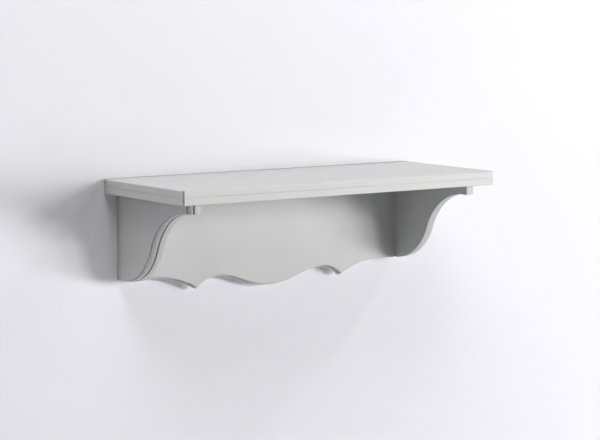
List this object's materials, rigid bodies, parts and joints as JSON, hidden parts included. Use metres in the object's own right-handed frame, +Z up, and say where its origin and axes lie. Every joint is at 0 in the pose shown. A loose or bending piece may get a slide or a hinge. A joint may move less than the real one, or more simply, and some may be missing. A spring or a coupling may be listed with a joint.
{
  "type": "wall shelf",
  "caption": "Wall shelf with a moulded edge, two ogee brackets and a scalloped back panel, hung on hidden keyhole plates.",
  "frame": {"origin": "on the wall plane, at the middle of the shelf's length, level with the top surface", "axes": "+X along the wall to the right as seen from the room, +Y into the wall, +Z up"},
  "size_m": [0.8, 0.3, 0.2483],
  "materials": {
    "painted_wood": "satin light grey paint",
    "plywood": "bare birch plywood",
    "beech": "bare beech",
    "zinc_plated_steel": "bright zinc plate"
  },
  "bodies": {
    "root": {"shelf_core": "painted_wood", "front_moulding": "painted_wood", "left_moulding": "painted_wood", "right_moulding": "painted_wood", "left_bracket": "painted_wood", "right_bracket": "painted_wood", "back_panel": "painted_wood", "front_spline": "plywood", "left_spline": "plywood", "right_spline": "plywood", "left_bracket_dowel_rear": "beech", "left_bracket_dowel_middle": "beech", "left_bracket_dowel_front": "beech", "right_bracket_dowel_rear": "beech", "right_bracket_dowel_middle": "beech", "right_bracket_dowel_front": "beech", "panel_dowel_outer_left": "beech", "panel_dowel_inner_left": "beech", "panel_dowel_inner_right": "beech", "panel_dowel_outer_right": "beech", "left_level_dowel_upper": "beech", "left_level_dowel_lower": "beech", "right_level_dowel_upper": "beech", "right_level_dowel_lower": "beech", "left_keyhole_plate": "zinc_plated_steel", "right_keyhole_plate": "zinc_plated_steel", "left_plate_screw_upper": "zinc_plated_steel", "left_plate_screw_lower": "zinc_plated_steel", "right_plate_screw_upper": "zinc_plated_steel", "right_plate_screw_lower": "zinc_plated_steel"}
  },
  "joints": []
}
